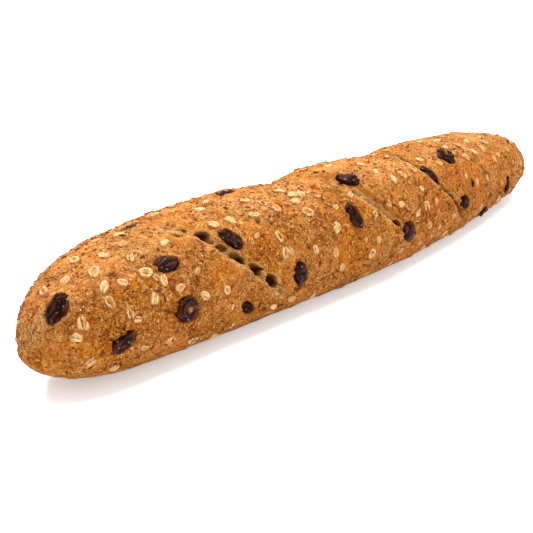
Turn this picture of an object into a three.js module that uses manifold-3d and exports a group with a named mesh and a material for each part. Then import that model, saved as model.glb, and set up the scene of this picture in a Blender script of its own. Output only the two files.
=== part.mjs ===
// A wholegrain raisin baguette, baked on a flat tray and lying as it was baked.
// Millimetres, +Z up. +X runs along the loaf, and -Y is the side called the front.
// The origin is on the tray, under the middle of the loaf.
// A place on the crust is given by x and by "round", the angle in degrees from the top of
// the loaf over towards the front: 0 is the crown, 90 the front flank, 180 the underside.
import * as THREE from "three";
import { mergeVertices } from "three/addons/utils/BufferGeometryUtils.js";
import Module from "manifold-3d";

const wasm = await Module();
wasm.setup();

// Driving dimensions of the loaf
const LENGTH = 330;
const BASE_SUNK = 3; // how much of the round dough has settled flat on the tray
const HEIGHT_SHARE = 0.86; // height of the round dough as a share of its width
// Seven even stations from the -X tip to the +X tip: the width before the tips are rounded off,
// and how far the loaf has bent towards its back
const WIDTHS = [62, 59.1, 59.6, 59.8, 56.9, 54.9, 57.7];
const BENDS = [0, 3.2, 0.4, -3.6, -2.8, 0, 0];
const ASIDE = 1.5; // moves the loaf so that its box is centred
const TIP_LIFT = 0.67; // how high a tip stands, as a share of the height of the loaf's middle line
const NEAR_TIP = [5.9, 1.85]; // the two powers that round the -X tip
const FAR_TIP = [4.2, 1.76];
const FLANK_POWER = 0.9; // under 1 makes the section squarer than an ellipse
const BELLY_POWER = 0.8;

const radians = THREE.MathUtils.degToRad;
const clamp = THREE.MathUtils.clamp;
const smooth = THREE.MathUtils.smoothstep;
const bell = (distance, width) => Math.exp(-((distance / width) ** 2));
const rounded = (value, power) => Math.sign(value) * Math.abs(value) ** power;

// A smooth run through even stations, place counted from the first of them
function between(stations, place) {
  const n = clamp(Math.floor(place), 0, stations.length - 2);
  const t = clamp(place - n, 0, 1);
  const [a, b, c, d] = [-1, 0, 1, 2].map((i) => stations[clamp(n + i, 0, stations.length - 1)]);
  return b + 0.5 * t * (c - a + t * (2 * a - 5 * b + 4 * c - d + t * (3 * (b - c) + d - a)));
}

const alongLoaf = (stations, x) => between(stations, (x / LENGTH + 0.5) * (stations.length - 1));

// The smooth dough: how much the section at x is drawn in towards a tip, and a point on it
function taperAt(x) {
  const [p, q] = x < 0 ? NEAR_TIP : FAR_TIP;
  const s = clamp(Math.abs(x) / (LENGTH / 2), 0, 1);
  return (1 - s ** p) ** (1 / q);
}

function doughPoint(x, round) {
  const taper = taperAt(x);
  const halfWidth = alongLoaf(WIDTHS, x) / 2;
  const halfHeight = halfWidth * HEIGHT_SHARE;
  const middle = halfHeight * (1 - (1 - taper) * (1 - TIP_LIFT));
  const up = Math.cos(radians(round));
  const power = up < 0 ? BELLY_POWER : 1;
  return new THREE.Vector3(
    x,
    ASIDE + alongLoaf(BENDS, x) - halfWidth * taper * rounded(Math.sin(radians(round)), FLANK_POWER),
    middle + halfHeight * taper * rounded(up, power) - BASE_SUNK,
  );
}

function doughNormal(x, round) {
  const step = 0.5;
  const reach = LENGTH / 2 - 1.5 * step;
  const at = clamp(x, -reach, reach);
  const along = doughPoint(at + step, round).sub(doughPoint(at - step, round));
  const across = doughPoint(at, round + step).sub(doughPoint(at, round - step));
  return across.cross(along).normalize();
}

// The cuts run slanting over the top and down the front flank. Each is given by its x at even
// steps of round, by how deep it lies at the front and at the back, and by the burst bubbles
// along its open side: from round, to round, how wide and how deep.
const CUTS = [
  {
    path: [-130, -124, -117, -108, -98, -89, -75, -60.5],
    starts: -30,
    deep: [0.9, 0],
    bubbles: [
      [5, 14, 3.2, 1.9],
      [24, 41.5, 4.6, 3],
      [42, 52, 3.8, 2.4],
      [53, 67.5, 4.4, 3],
      [68.5, 81.5, 4.6, 3],
      [82.5, 95, 4.6, 2.8],
    ],
  },
  {
    path: [-38, -34, -30, -25.5, -19.5, -9.5, 4.5, 17],
    starts: -85,
    deep: [1.4, 3],
    bubbles: [
      [32, 44, 4.6, 1.8],
      [45, 54, 4.4, 1.6],
      [63.5, 73, 4, 1.7],
      [75, 85, 4.4, 3],
    ],
  },
  {
    path: [26, 30, 33, 32, 31.5, 39.5, 52.5, 66],
    starts: -85,
    deep: [2.2, 1.9],
    bubbles: [[71, 83, 6.4, 2.8]],
  },
];
const PATH_FIRST = -90; // the round of a path's first x, and the step to the next
const PATH_STEP = 30;
const CROWN_STATION = -PATH_FIRST / PATH_STEP;
const CUT_OPENS = 30; // degrees over which a cut deepens where it starts
const CUT_ENDS = [80, 115]; // it grows shallow between these
const CUT_SLOPE = 0.7; // a cut runs this far along for each millimetre round
const FALL = 12; // at the front the open side climbs out of the cut over this distance
const LIP_HIGH = [0.3, 0.3]; // the lip of a shallow cut, and what each millimetre of depth adds
const LIP_WIDE = 3;
const BACK_SIDES = [18, 7]; // over the back a cut is a trough with a long and a short side
const FRONT_FROM = [-15, 25]; // where its form goes over from the back's to the front's
const SWELL = 0.2; // how far the dough swells between two cuts

// A lane is a line on the crust that keeps between the cuts and runs as they do, named by its
// x at the crown. Under the loaf it comes back to that x.
const turnOf = (round) => ((round + 540) % 360) - 180;
const crownOf = (cut) => cut.path[CROWN_STATION];

function shiftOf(cut, round) {
  const turn = turnOf(round);
  const moved = between(cut.path, (turn - PATH_FIRST) / PATH_STEP) - crownOf(cut);
  return moved * (1 - smooth(Math.abs(turn), 105, 180));
}

function xOfLane(lane, round) {
  const marks = [-LENGTH / 2, ...CUTS.map(crownOf), LENGTH / 2];
  const shifts = [0, ...CUTS.map((cut) => shiftOf(cut, round)), 0];
  const after = clamp(marks.findIndex((mark) => mark >= lane), 1, marks.length - 1);
  const share = (lane - marks[after - 1]) / (marks[after] - marks[after - 1]);
  return lane + THREE.MathUtils.lerp(shifts[after - 1], shifts[after], share);
}

function laneOf(x, round) {
  let [low, high] = [-LENGTH / 2, LENGTH / 2];
  for (let i = 0; i < 30; i++) {
    const middle = (low + high) / 2;
    if (xOfLane(middle, round) < x) low = middle;
    else high = middle;
  }
  return (low + high) / 2;
}

// Distance from a cut, measured square to it: below 0 on the side of its raised lip
const SQUARE = Math.cos(Math.atan(CUT_SLOPE));
const squareTo = (cut, lane) => (lane - crownOf(cut)) * SQUARE;

// How far the crust stands out from the smooth dough
function reliefAt(lane, round) {
  const turn = turnOf(round);
  const front = smooth(turn, ...FRONT_FROM);
  let nearest = Infinity;
  let out = 0;
  for (const cut of CUTS) {
    const open = smooth(turn, cut.starts, cut.starts + CUT_OPENS) * (1 - smooth(turn, ...CUT_ENDS));
    const d = squareTo(cut, lane);
    const high = LIP_HIGH[0] + LIP_HIGH[1] * cut.deep[0];
    const lip = high * bell(d + LIP_WIDE, LIP_WIDE) - cut.deep[0] * bell(d, 1);
    const atFront = d < 0 ? lip : -cut.deep[0] * bell(d, FALL);
    const atBack = -cut.deep[1] * bell(d, BACK_SIDES[d < 0 ? 0 : 1]);
    out += open * THREE.MathUtils.lerp(atBack, atFront, front);
    nearest = Math.min(nearest, Math.abs(d));
  }
  const free = 1 - smooth(Math.abs(turn), 110, 140); // the underside lies flat on the tray
  return out + free * SWELL * smooth(nearest, 4, 26);
}

function crustPoint(lane, round) {
  const x = xOfLane(lane, round);
  return doughPoint(x, round).addScaledVector(doughNormal(x, round), reliefAt(lane, round));
}

// The crust's surface is a net of lanes and angles, closed by a point at each tip.
const ROUNDS = 28;
const CROWDED = 0.3; // how much closer than even the angles lie over the crown
const LANE_STEP = 8.5;
const BESIDE_CUT = [-9, -5, -2.2, -0.7, 0.5, 3, 7.5, 13]; // lanes that follow a cut's shape
const TIP_LANES = 7;
const TIP_STEP = 0.6; // lanes crowd together at a tip, by the square of their number

function crustLanes() {
  const clear = BESIDE_CUT.at(-1) + 2;
  const tip = TIP_STEP * TIP_LANES ** 2;
  const lanes = [];
  for (let n = 1; n <= TIP_LANES; n++) {
    lanes.push(-LENGTH / 2 + TIP_STEP * n ** 2, LENGTH / 2 - TIP_STEP * n ** 2);
  }
  for (let x = -LENGTH / 2 + tip + LANE_STEP; x < LENGTH / 2 - tip - 2; x += LANE_STEP) {
    lanes.push(x);
  }
  const away = lanes.filter((lane) => CUTS.every((cut) => Math.abs(lane - crownOf(cut)) > clear));
  const beside = CUTS.flatMap((cut) => BESIDE_CUT.map((step) => crownOf(cut) + step));
  return [...away, ...beside].sort((a, b) => a - b);
}

// A closed net: rows of points between a first and a last single point
function closedNet(rows, first, last) {
  const across = rows[0].length;
  const points = [first, ...rows.flat(), last];
  const index = [];
  const at = (row, column) => 1 + row * across + (column % across);
  for (let column = 0; column < across; column++) {
    index.push(0, at(0, column), at(0, column + 1));
    for (let row = 0; row + 1 < rows.length; row++) {
      index.push(at(row, column), at(row + 1, column), at(row + 1, column + 1));
      index.push(at(row, column), at(row + 1, column + 1), at(row, column + 1));
    }
    const end = rows.length - 1;
    index.push(points.length - 1, at(end, column + 1), at(end, column));
  }
  const geometry = new THREE.BufferGeometry().setFromPoints(points);
  geometry.setIndex(index);
  return geometry;
}

function crustGeometry() {
  const rounds = Array.from({ length: ROUNDS }, (_, n) => {
    const even = 180 - (360 * n) / ROUNDS;
    return even - THREE.MathUtils.radToDeg(CROWDED * Math.sin(radians(even)));
  });
  const rows = crustLanes().map((lane) => rounds.map((round) => crustPoint(lane, round)));
  return closedNet(rows, doughPoint(-LENGTH / 2, 0), doughPoint(LENGTH / 2, 0));
}

// Between three.js geometries and solids that can be cut and joined
function solidOf(geometry) {
  const bare = geometry.clone();
  bare.deleteAttribute("normal");
  bare.deleteAttribute("uv");
  const merged = mergeVertices(bare, 1e-4);
  const mesh = new wasm.Mesh({
    numProp: 3,
    vertProperties: new Float32Array(merged.attributes.position.array),
    triVerts: new Uint32Array(merged.index.array),
  });
  return new wasm.Manifold(mesh);
}

function geometryOf(solid) {
  const mesh = solid.getMesh();
  const geometry = new THREE.BufferGeometry();
  geometry.setAttribute("position", new THREE.BufferAttribute(new Float32Array(mesh.vertProperties), 3));
  geometry.setIndex(new THREE.BufferAttribute(new Uint32Array(mesh.triVerts), 1));
  return geometry.toNonIndexed();
}

// A place on the crust as a matrix: its z axis stands out of the crust, and its x axis runs
// along the loaf, turned by "turn" degrees towards the underside at the front
function placeOn(x, round, turn, out) {
  const lane = laneOf(x, round);
  const z = doughNormal(x, round);
  const along = new THREE.Vector3(1, 0, 0).addScaledVector(z, -z.x).normalize();
  const down = along.clone().cross(z);
  const xAxis = along.multiplyScalar(Math.cos(radians(turn))).addScaledVector(down, Math.sin(radians(turn)));
  const yAxis = z.clone().cross(xAxis);
  const point = crustPoint(lane, round).addScaledVector(z, out);
  return new THREE.Matrix4().makeBasis(xAxis, yAxis, z).setPosition(point);
}

// Raisins, half baked into the crust. The first eighteen are the ones that show from the front,
// and the others carry the same scatter round the back and low on the flanks.
// Each is [x, round, length, width, turn, how far its middle is sunk].
const RAISINS = [
  [-154.7, 24, 11.5, 7.5, 155, 0.8],
  [-140.3, 92, 12, 6.5, 148, 1],
  [-113.7, 86, 11, 10, 31, 1],
  [-115.7, 44, 11.5, 7, 5, 1],
  [-111, -6, 9.5, 5.5, 18, 1.4],
  [-65.5, -9, 13, 7, 0, 1.2],
  [-85.3, 43, 11.5, 6.5, 65, 0.4],
  [-84.9, 103, 9, 5, 44, 1.2],
  [-58.4, 92, 12.5, 7.5, 80, 1],
  [-12.5, 22, 11.5, 7.5, 40, 0.2],
  [-24.2, 59, 12.5, 7.5, 82, 0.8],
  [9.8, 92, 10.5, 9, 52, 0.6],
  [39.5, 43, 13, 6, 68, 0.3],
  [60, 31, 11, 9.5, 45, 0.5],
  [61.7, 90, 9.5, 7, 50, 0.5],
  [69.6, 70, 6, 4.2, 56, 0.8],
  [114, 94, 10, 6, 90, 0.6],
  [89.5, 116, 9, 6, 0, 0.4],
  [-148, -96, 12, 7.5, 40, 0.8],
  [-120, -104, 11, 8, 100, 1],
  [-91, -62, 12.5, 7.5, 20, 0.8],
  [-60, -98, 12, 8, 130, 0.8],
  [-48, -62, 10.5, 8, 70, 0.8],
  [-8, -84, 13, 7, 15, 1],
  [8, -66, 11, 8.5, 110, 0.8],
  [52, -104, 12, 7.5, 45, 1],
  [60, -62, 10, 7, 80, 0.6],
  [94, -58, 12, 8, 150, 0.8],
  [104, -98, 12.5, 8, 25, 0.8],
  [134, -60, 11, 7.5, 70, 0.8],
  [126, -126, 9, 6, 120, 0.8],
  [30, -132, 10, 7, 20, 0.6],
];
const RAISIN_THICK = 0.78; // thickness as a share of the width
const SOCKET_GAP = 0.35;
const WRINKLES = 0.07;

// A raisin is a flat egg with a few folds that run from end to end.
function raisinSolid([, , length, width, turn], grow) {
  const geometry = new THREE.SphereGeometry(1, 8, 6);
  geometry.rotateZ(Math.PI / 2); // its poles go to the two ends
  const position = geometry.attributes.position;
  const half = [length / 2, width / 2, (width * RAISIN_THICK) / 2];
  for (let i = 0; i < position.count; i++) {
    const p = new THREE.Vector3().fromBufferAttribute(position, i);
    const girth = Math.hypot(p.y, p.z);
    const fold = 1 + WRINKLES * Math.cos(5 * Math.atan2(p.z, p.y) + radians(turn)) * girth;
    position.setXYZ(
      i,
      p.x * (half[0] + grow),
      p.y * (half[1] + grow) * fold,
      p.z * (half[2] + grow) * fold,
    );
  }
  return solidOf(geometry);
}

function placed(solid, matrix) {
  return solid.transform(matrix.elements);
}

function raisinPlace([x, round, , , turn, sunk]) {
  return placeOn(x, round, turn, -sunk);
}

// Rolled oats, baked on: low oval domes, scattered evenly by a rule over all but the underside
const OATS = 75;
const OAT_LENGTH = [5.5, 8];
const OAT_WIDE = 0.74; // width as a share of the length
const OAT_PROUD = 0.7;
const OAT_DEEP = 0.9;
const OAT_SIDES = 6;
const OAT_LOWEST = 118; // degrees from the crown
const CLEAR_OF_RAISIN = 1.2;
const CLEAR_OF_CUT = 3.2;
// Steps of an even two-way scatter, from the root of x^3 = x + 1
const SCATTER = [0.7548776662466927, 0.5698402909980532];
const share = (n, step) => (0.5 + n * step) % 1;

function oatPlaces() {
  const places = [];
  for (let n = 1; places.length < OATS; n++) {
    const x = (share(n, SCATTER[0]) - 0.5) * (LENGTH - 14);
    const round = (share(n, SCATTER[1]) * 2 - 1) * OAT_LOWEST;
    const length = OAT_LENGTH[0] + (OAT_LENGTH[1] - OAT_LENGTH[0]) * share(n, 0.618034);
    const turn = 360 * share(n, 0.414214);
    if (isClear(x, round, length / 2)) places.push({ x, round, length, turn });
  }
  return places;
}

function isClear(x, round, reach) {
  const point = crustPoint(laneOf(x, round), round);
  const raisinFree = RAISINS.every((raisin) => {
    const other = crustPoint(laneOf(raisin[0], raisin[1]), raisin[1]);
    return point.distanceTo(other) > raisin[2] / 2 + reach + CLEAR_OF_RAISIN;
  });
  const lane = laneOf(x, round);
  const cutFree = CUTS.every((cut) => Math.abs(squareTo(cut, lane)) > CLEAR_OF_CUT + reach);
  return raisinFree && cutFree;
}

function oatSolid({ x, round, length, turn }) {
  const rim = (out, shrink) =>
    Array.from({ length: OAT_SIDES }, (_, n) => {
      const a = (-2 * Math.PI * n) / OAT_SIDES;
      return new THREE.Vector3(
        (length / 2) * shrink * Math.cos(a),
        (length / 2) * OAT_WIDE * shrink * Math.sin(a),
        out,
      );
    });
  const geometry = closedNet(
    [rim(-OAT_DEEP, 0.8), rim(OAT_PROUD * 0.75, 0.86)],
    new THREE.Vector3(0, 0, -OAT_DEEP),
    new THREE.Vector3(0, 0, OAT_PROUD),
  );
  return placed(solidOf(geometry), placeOn(x, round, turn, 0));
}

// A burst bubble is an egg-shaped hole on the open side of its cut. It leans a little more
// steeply down the flank than the cut does.
const BUBBLE_SLOPE = 0.27; // it runs this far along for each millimetre round
const BUBBLE_OUT = 0.4; // how far its middle stands out of the crust, so that it opens wide

function bubbleSolid(cut, [from, to, wide, deep]) {
  const round = (from + to) / 2;
  const x = xOfLane(crownOf(cut) + wide / 2 / SQUARE, round);
  const run = doughPoint(x, to).distanceTo(doughPoint(x, from)) * Math.hypot(1, BUBBLE_SLOPE);
  const turn = THREE.MathUtils.radToDeg(Math.atan2(1, BUBBLE_SLOPE));
  const geometry = new THREE.SphereGeometry(1, 8, 5);
  geometry.rotateZ(Math.PI / 2);
  geometry.scale(run / 2, wide / 2, deep + BUBBLE_OUT);
  return placed(solidOf(geometry), placeOn(x, round, turn, BUBBLE_OUT));
}

// Colours and finishes
const CRUST = new THREE.MeshStandardMaterial({ color: 0xc07a38, roughness: 0.72, metalness: 0 });
const FRUIT = new THREE.MeshStandardMaterial({ color: 0x2e1512, roughness: 0.38, metalness: 0 });

function part(name, solid, material) {
  const geometry = geometryOf(solid);
  geometry.computeVertexNormals();
  const mesh = new THREE.Mesh(geometry, material);
  mesh.name = name;
  return mesh;
}

// The loaf: crust, with its oats joined on, then its flat base, its bubbles and the raisins'
// sockets cut
const oats = oatPlaces().map(oatSolid);
const tray = new THREE.BoxGeometry(LENGTH, 2 * WIDTHS[0], 4 * BASE_SUNK);
tray.translate(0, 0, -2 * BASE_SUNK);
const holes = [
  solidOf(tray),
  ...CUTS.flatMap((cut) => cut.bubbles.map((bubble) => bubbleSolid(cut, bubble))),
  ...RAISINS.map((raisin) => placed(raisinSolid(raisin, SOCKET_GAP), raisinPlace(raisin))),
];
const withOats = wasm.Manifold.union([solidOf(crustGeometry()), ...oats]);
const loaf = wasm.Manifold.difference([withOats, ...holes]);

const baguette = new THREE.Group();
baguette.add(part("loaf", loaf, CRUST));
RAISINS.forEach((raisin, n) => {
  const mesh = part(`raisin_${String(n + 1).padStart(2, "0")}`, raisinSolid(raisin, 0), FRUIT);
  mesh.applyMatrix4(raisinPlace(raisin));
  baguette.add(mesh);
});

export default baguette;
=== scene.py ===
import itertools
import math

import bpy
import numpy as np
from mathutils import Matrix


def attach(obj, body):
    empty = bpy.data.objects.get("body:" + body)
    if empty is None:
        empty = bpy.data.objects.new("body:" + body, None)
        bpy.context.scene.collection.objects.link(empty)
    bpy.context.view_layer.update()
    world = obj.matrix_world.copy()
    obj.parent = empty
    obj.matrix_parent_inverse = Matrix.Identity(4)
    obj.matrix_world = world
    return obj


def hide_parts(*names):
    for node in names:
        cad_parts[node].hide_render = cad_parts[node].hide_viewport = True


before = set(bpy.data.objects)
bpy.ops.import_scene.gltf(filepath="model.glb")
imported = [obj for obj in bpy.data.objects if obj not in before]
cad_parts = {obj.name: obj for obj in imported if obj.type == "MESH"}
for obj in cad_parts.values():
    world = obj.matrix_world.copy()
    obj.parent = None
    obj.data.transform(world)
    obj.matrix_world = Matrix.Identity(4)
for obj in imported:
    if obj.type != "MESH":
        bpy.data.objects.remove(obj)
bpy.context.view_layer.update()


# The crust is one skin of wholegrain dough that was shaped by hand, cut three times across the
# top, laid on a flat tray and baked. The cuts opened in the oven: each has a raised lip on the
# left, burst bubbles along its edge, and smooth stretched crust on the right. Millimetres.
LENGTH = 330.0
BASE_SUNK = 3.0  # how much of the oval the tray has flattened
HEIGHT_SHARE = 0.86  # the oval's height to its width
WIDTHS = [62, 59.1, 59.6, 59.8, 56.9, 54.9, 57.7]  # at even stations from the near tip to the far
BENDS = [0, 3.2, 0.4, -3.6, -2.8, 0, 0]  # sideways, at the same stations
ASIDE = 1.5
TIP_LIFT = 0.67  # how high the tips lie, as a share of how high the loaf's middle lies
NEAR_TIP = (5.9, 1.85)  # the two powers of the tip's taper
FAR_TIP = (4.2, 1.76)

# Round is the angle in degrees from the crown, counted down the front flank. For each cut: its x
# at even steps of round from 90 degrees over the back, where it starts, how deep it is at the
# front and at the back, where its pale edge lies (partly a painted highlight on the lip), the
# painted shade of dark brown behind that edge (share, how far behind the cut, how wide) and its
# bubbles: from round, to round, wide, deep.
CUTS = [
    dict(path=[-130, -124, -117, -108, -98, -89, -75, -60.5], starts=-30, deep=(0.9, 0), edge=-0.7,
         brown=(0.35, 0.8, 0.9),
         bubbles=[(5, 14, 3.2, 1.9), (15, 23, 3, 2), (24, 41.5, 4.6, 3), (42, 51.5, 3.8, 2.3),
                  (52.5, 67.5, 4, 3), (68, 82, 4.6, 3), (82.5, 95, 4.4, 2.8), (96, 104, 3, 1.8)]),
    dict(path=[-38, -34, -30, -25.5, -19.5, -9.5, 4.5, 17], starts=-85, deep=(1.4, 3), edge=-1.3,
         brown=(0.5, 5.5, 2.5),
         bubbles=[(20, 30, 3.8, 1.5), (32, 44, 4.6, 1.8), (45, 54, 4.4, 1.6), (54.5, 63, 4.2, 1.6),
                  (63.5, 73, 4, 1.7), (75, 85, 4.4, 3)]),
    dict(path=[26, 30, 33, 32, 31.5, 39.5, 52.5, 66], starts=-85, deep=(2.2, 1.9), edge=-2,
         brown=(1, 2.7, 2.1),
         bubbles=[(26, 32, 2.6, 1.5), (34, 56, 3.2, 1.6), (58, 64, 2.8, 1.5), (71, 83, 6.4, 2.8)]),
]
CROWN = 3  # the station of a cut's path that lies on the crown
LEAN = 0.17  # for each degree down the flank a bubble draws in under the lip by this much
SQUARE = math.cos(math.atan(0.7))  # from millimetres along the loaf to millimetres across a cut

# Raisins half baked into the crust: x, round, length, width, turn, how far the middle is sunk,
# how much the top has fallen in, and how much it curls sideways.
RAISINS = [
    (-154.7, 24, 11.5, 7.5, 155, 0.8, 0.8, 0), (-140.3, 92, 12, 6.5, 148, 1, 0.5, 0),
    (-113.7, 86, 11, 10, 31, 1, 1.5, 0), (-115.7, 44, 11.5, 7, 5, 1, 0.7, 0.3),
    (-111, -6, 9.5, 5.5, 18, 1.4, 0.3, 0), (-65.5, -9, 13, 7, 0, 1.2, 0.6, 0),
    (-85.3, 43, 11.5, 6.5, 65, 0.4, 0.6, -0.5), (-84.9, 103, 9, 5, 44, 1.2, 0.3, 1.1),
    (-58.4, 92, 12.5, 7.5, 80, 1, 0.9, 0), (-12.5, 22, 11.5, 7.5, 40, 0.2, 0.6, 0.5),
    (-24.2, 59, 12.5, 7.5, 82, 0.8, 0.9, 0), (9.8, 92, 10.5, 9, 52, 0.6, 0.9, 1.2),
    (39.5, 43, 13, 6, 68, 0.3, 0.3, 0), (60, 31, 11, 9.5, 45, 0.5, 1.2, 0),
    (61.7, 90, 9.5, 7, 50, 0.5, 0.4, 0), (69.6, 70, 6, 4.2, 56, 0.8, 0.2, 0),
    (114, 94, 10, 6, 90, 0.6, 0.5, 0), (89.5, 116, 9, 6, 0, 0.4, 0.4, 0),
    (-148, -96, 12, 7.5, 40, 0.8, 0.8, 0), (-120, -104, 11, 8, 100, 1, 0.9, 0.4),
    (-91, -62, 12.5, 7.5, 20, 0.8, 0.7, 0), (-60, -98, 12, 8, 130, 0.8, 1.0, -0.6),
    (-48, -62, 10.5, 8, 70, 0.8, 0.8, 0), (-8, -84, 13, 7, 15, 1, 0.6, 0.5),
    (8, -66, 11, 8.5, 110, 0.8, 1.1, 0), (52, -104, 12, 7.5, 45, 1, 0.8, 0),
    (60, -62, 10, 7, 80, 0.6, 0.6, 0), (94, -58, 12, 8, 150, 0.8, 0.9, -0.4),
    (104, -98, 12.5, 8, 25, 0.8, 0.8, 0), (134, -60, 11, 7.5, 70, 0.8, 0.7, 0),
    (126, -126, 9, 6, 120, 0.8, 0.5, 0), (30, -132, 10, 7, 20, 0.6, 0.5, 0),
]
RAISIN_THICK = 0.78
FILMED = {2: 0.25, 5: 0.45, 6: 0.35, 8: 0.3, 14: 0.15, 22: 0.35, 27: 0.45}  # share under a film of crust
DIMPLED = (3,)  # raisins seen end on, with rings round a stalk dimple
DRY = (8, 15, 16, 17, 18)  # raisins low on the flank, with a duller skin


def smooth(value, low, high):
    """0 up to low, 1 from high, and 3 t squared less 2 t cubed between them."""
    t = np.clip((value - low) / (high - low), 0, 1)
    return t * t * (3 - 2 * t)


def bell(distance, width):
    """1 at no distance, falling as e to the minus square of distance over width."""
    return np.exp(-(np.asarray(distance) / width) ** 2)


def rounded(value, power):
    """The value's size to this power, with its sign kept."""
    return np.sign(value) * np.abs(value) ** power


def between(stations, place):
    """A smooth cubic run through even stations, place counted from the first of them."""
    s = np.asarray(stations, float)
    n = np.clip(np.floor(place), 0, len(s) - 2).astype(int)
    t = np.clip(place - n, 0, 1)
    a, b, c, d = (s[np.clip(n + i, 0, len(s) - 1)] for i in (-1, 0, 1, 2))
    return b + 0.5 * t * (c - a + t * (2 * a - 5 * b + 4 * c - d + t * (3 * (b - c) + d - a)))


def dough(x, around):
    """The smooth loaf: at x an oval section squarer than an ellipse, drawn in at the tips by
    one less s to a power, bent sideways by the stations and sunk a little into the tray."""
    x, around = np.broadcast_arrays(np.asarray(x, float), np.asarray(around, float))
    place = (x / LENGTH + 0.5) * (len(WIDTHS) - 1)
    s = np.clip(np.abs(x) / (LENGTH / 2), 0, 1)
    taper = np.where(x < 0, (1 - s ** NEAR_TIP[0]) ** (1 / NEAR_TIP[1]),
                     (1 - s ** FAR_TIP[0]) ** (1 / FAR_TIP[1]))
    half = between(WIDTHS, place) / 2
    middle = half * HEIGHT_SHARE * (1 - (1 - taper) * (1 - TIP_LIFT))
    up, side = np.cos(np.radians(around)), np.sin(np.radians(around))
    y = ASIDE + between(BENDS, place) - half * taper * rounded(side, 0.9)
    z = middle + half * HEIGHT_SHARE * taper * np.where(up < 0, rounded(up, 0.8), up) - BASE_SUNK
    return np.stack([x, y, z], -1)


def dough_normal(x, around):
    """Square to the smooth loaf: the cross product of a small step round and one along."""
    step = 0.5
    x = np.clip(x, 1.5 * step - LENGTH / 2, LENGTH / 2 - 1.5 * step)
    along = dough(x + step, around) - dough(x - step, around)
    across = dough(x, around + step) - dough(x, around - step)
    normal = np.cross(across, along)
    return normal / np.linalg.norm(normal, axis=-1, keepdims=True)


def turned(around):
    """The same angle from -180 up to 180."""
    return (np.asarray(around, float) + 540) % 360 - 180


def x_of_lane(lane, around):
    """A lane is a line on the crust that runs as the cuts do and is named by its x at the crown.
    Its x here is that x and the shift of the cuts beside it, shared out by distance."""
    lane, around = np.broadcast_arrays(np.asarray(lane, float), np.asarray(around, float))
    marks = [-LENGTH / 2, *(cut["path"][CROWN] for cut in CUTS), LENGTH / 2]
    turn = turned(around)
    x = lane
    for n, cut in enumerate(CUTS):
        shift = between(cut["path"], turn / 30 + CROWN) - cut["path"][CROWN]
        shift = shift * (1 - smooth(np.abs(turn), 105, 180))
        x = x + np.interp(lane, marks[n:n + 3], [0, 1, 0]) * shift
    return x


def lane_of(x, around):
    """The lane that passes a place on the crust, found by halving the span 30 times."""
    low = np.full(np.broadcast(x, around).shape, -LENGTH / 2)
    high = -low
    for _ in range(30):
        middle = (low + high) / 2
        left = x_of_lane(middle, around) < x
        low, high = np.where(left, middle, low), np.where(left, high, middle)
    return (low + high) / 2


def relief(lane, around):
    """How far the crust stands out from the smooth loaf. At the front each cut is a lip, a steep
    step down and a long climb; over the back it is a trough with a long and a short side."""
    turn = turned(around)
    front = smooth(turn, -15, 25)
    out, nearest = 0.0, np.inf
    for cut in CUTS:
        opened = smooth(turn, cut["starts"], cut["starts"] + 30) * (1 - smooth(turn, 80, 115))
        d = (lane - cut["path"][CROWN]) * SQUARE
        lip = (0.3 + 0.3 * cut["deep"][0]) * bell(d + 3, 3) - cut["deep"][0] * bell(d, 1)
        at_front = np.where(d < 0, lip, -cut["deep"][0] * bell(d, 12))
        at_back = -cut["deep"][1] * bell(d, np.where(d < 0, 18, 7))
        out = out + opened * (front * at_front + (1 - front) * at_back)
        nearest = np.minimum(nearest, np.abs(d))
    return out + (1 - smooth(np.abs(turn), 110, 140)) * 0.2 * smooth(nearest, 4, 26)


def waves(points, size, seed):
    """Smooth random heights from about -1 to 1: random slopes at the corners of a lattice of
    this size, blended between the eight corners round a point."""
    slopes = np.random.default_rng(seed).normal(size=(4096, 3))
    slopes /= np.linalg.norm(slopes, axis=1, keepdims=True)
    place = points / size
    cell = np.floor(place).astype(np.int64)
    inside = place - cell
    share = inside ** 3 * (inside * (inside * 6 - 15) + 10)
    total = np.zeros(points.shape[:-1])
    for corner in itertools.product((0, 1), repeat=3):
        pick = ((cell + corner) * (73856093, 19349663, 83492791)).sum(-1) % len(slopes)
        weight = np.where(corner, share, 1 - share).prod(-1)
        total += weight * ((inside - corner) * slopes[pick]).sum(-1)
    return total * 1.6


def wander(lane, around):
    """How far a torn edge strays from its line: a slow wave and two quick ones."""
    lane, turn = np.broadcast_arrays(lane, turned(around))
    place = np.stack([lane, turn * 0.5, 0 * lane], -1)
    return 0.9 * waves(place, 7.0, 25) + 0.5 * waves(place, 2.6, 26) + 0.25 * waves(place, 1.2, 27)


def shaped(lane, around):
    """The loaf with its cuts but without its roughness, the direction square to it, and the
    direction along it."""
    x = x_of_lane(lane, around)
    normal = dough_normal(x, around)
    along = np.stack([1 - normal[..., 0] ** 2, -normal[..., 0] * normal[..., 1],
                      -normal[..., 0] * normal[..., 2]], -1)
    along = along / np.maximum(np.linalg.norm(along, axis=-1, keepdims=True), 1e-6)
    out = relief(lane + wander(lane, around), around)
    return dough(x, around) + normal * out[..., None], normal, along


def place_on(x, around, turn, out=0.0):
    """Three axes and a point for what lies on the crust: the third axis stands out of it, and
    the first runs along the loaf, turned by "turn" degrees down towards the front."""
    point, normal, along = shaped(lane_of(x, around), around)
    down = np.cross(along, normal)
    turn = np.radians(turn)
    first = along * np.cos(turn)[..., None] + down * np.sin(turn)[..., None]
    return np.stack([first, np.cross(normal, first), normal], -2), point + normal * out


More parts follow.
